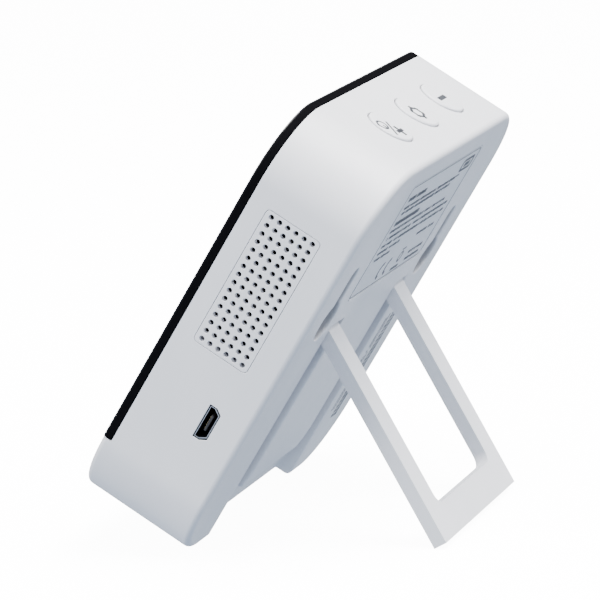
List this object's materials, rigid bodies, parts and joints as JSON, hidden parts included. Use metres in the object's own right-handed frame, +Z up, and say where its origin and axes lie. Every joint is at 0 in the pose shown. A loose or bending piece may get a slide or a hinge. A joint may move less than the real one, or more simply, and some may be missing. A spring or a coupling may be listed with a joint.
{
  "type": "digital photo frame",
  "caption": "Small table-top digital picture frame with a black screen cover, white case, side speaker grille, top buttons and a folding stand.",
  "frame": {"origin": "middle of the footprint on the table, with the stand open", "axes": "+Z up, -Y the way the screen faces, +X the speaker side"},
  "size_m": [0.0984, 0.0742, 0.0946],
  "materials": {
    "white_plastic": "fine satin texture",
    "screen_cover": "polished black",
    "display_glass": "polished",
    "circuit_board": "solder mask",
    "steel": "bright",
    "ribbon_film": "film",
    "label_film": "printed film",
    "foam": "open cell",
    "cone_paper": "paper",
    "red_lead": "insulation",
    "black_plastic": "satin"
  },
  "bodies": {
    "case": {"rear_housing": "white_plastic", "front_panel": "screen_cover", "mid_frame": "black_plastic", "rating_label": "label_film", "speaker_grille": "white_plastic", "speaker_gasket": "foam", "speaker_basket": "black_plastic", "speaker_cone": "cone_paper", "speaker_magnet": "steel", "display_glass": "display_glass", "backlight_unit": "steel", "main_board": "circuit_board", "usb_shell": "steel", "usb_tongue": "black_plastic", "button_board": "circuit_board", "processor_chip": "black_plastic", "memory_chip": "black_plastic", "flash_chip": "black_plastic", "power_inductor": "black_plastic", "display_connector": "black_plastic", "button_connector": "black_plastic", "speaker_lead_plus": "red_lead", "speaker_lead_minus": "black_plastic", "display_ribbon": "ribbon_film", "button_ribbon": "ribbon_film", "tact_switch_1": "black_plastic", "tact_switch_2": "black_plastic", "tact_switch_3": "black_plastic", "board_screw_1": "steel", "board_screw_2": "steel", "board_screw_3": "steel", "board_screw_4": "steel", "frame_screw_1": "steel", "frame_screw_2": "steel", "frame_screw_3": "steel", "frame_screw_4": "steel", "button_board_screw_1": "steel", "button_board_screw_2": "steel"},
    "stand": {"kickstand": "white_plastic", "hinge_pin_speaker_side": "steel", "hinge_pin_far_side": "steel"},
    "power_plus": {"power_plus_button": "white_plastic"},
    "mode": {"mode_button": "white_plastic"},
    "minus": {"minus_button": "white_plastic"}
  },
  "joints": [
    {"name": "stand_hinge", "type": "hinge", "parent": "case", "child": "stand", "pos_m": [0, 0.0107, 0.04549], "axis": [1, 0, 0], "range_deg": [-60.6, 0]},
    {"name": "power_plus_press", "type": "slide", "parent": "case", "child": "power_plus", "axis": [0, 0.5202, 0.854], "range_m": [-0.0004, 0], "stiffness_N_per_m": 3000},
    {"name": "mode_press", "type": "slide", "parent": "case", "child": "mode", "axis": [0, 0.5202, 0.854], "range_m": [-0.0004, 0], "stiffness_N_per_m": 3000},
    {"name": "minus_press", "type": "slide", "parent": "case", "child": "minus", "axis": [0, 0.5202, 0.854], "range_m": [-0.0004, 0], "stiffness_N_per_m": 3000}
  ]
}
